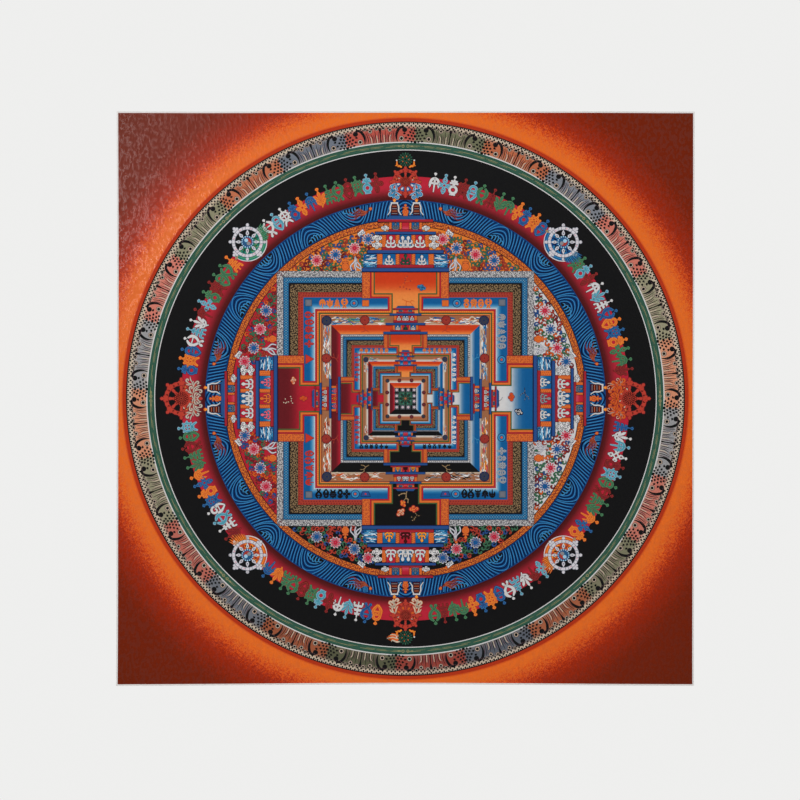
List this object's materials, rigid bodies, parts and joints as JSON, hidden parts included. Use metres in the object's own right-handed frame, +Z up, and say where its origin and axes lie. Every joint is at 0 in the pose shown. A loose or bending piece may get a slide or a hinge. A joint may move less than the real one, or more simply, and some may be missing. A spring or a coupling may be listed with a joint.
{
  "type": "unmounted thangka painting",
  "caption": "Square cotton cloth painted with a ringed palace mandala on a shaded ground, with a narrow bare edge, hung from its top edge as a wall piece.",
  "frame": {"origin": "middle of the cloth's top edge, where it is held", "axes": "+X to the viewer's right, +Z up, and the painted face looks along -Y"},
  "size_m": [0.7599, 0.0078, 0.7548],
  "materials": {
    "painted_cotton": "primed cotton with matt mineral paint, slightly pebbled"
  },
  "bodies": {
    "root": {"painted_canvas": "painted_cotton"}
  },
  "joints": []
}
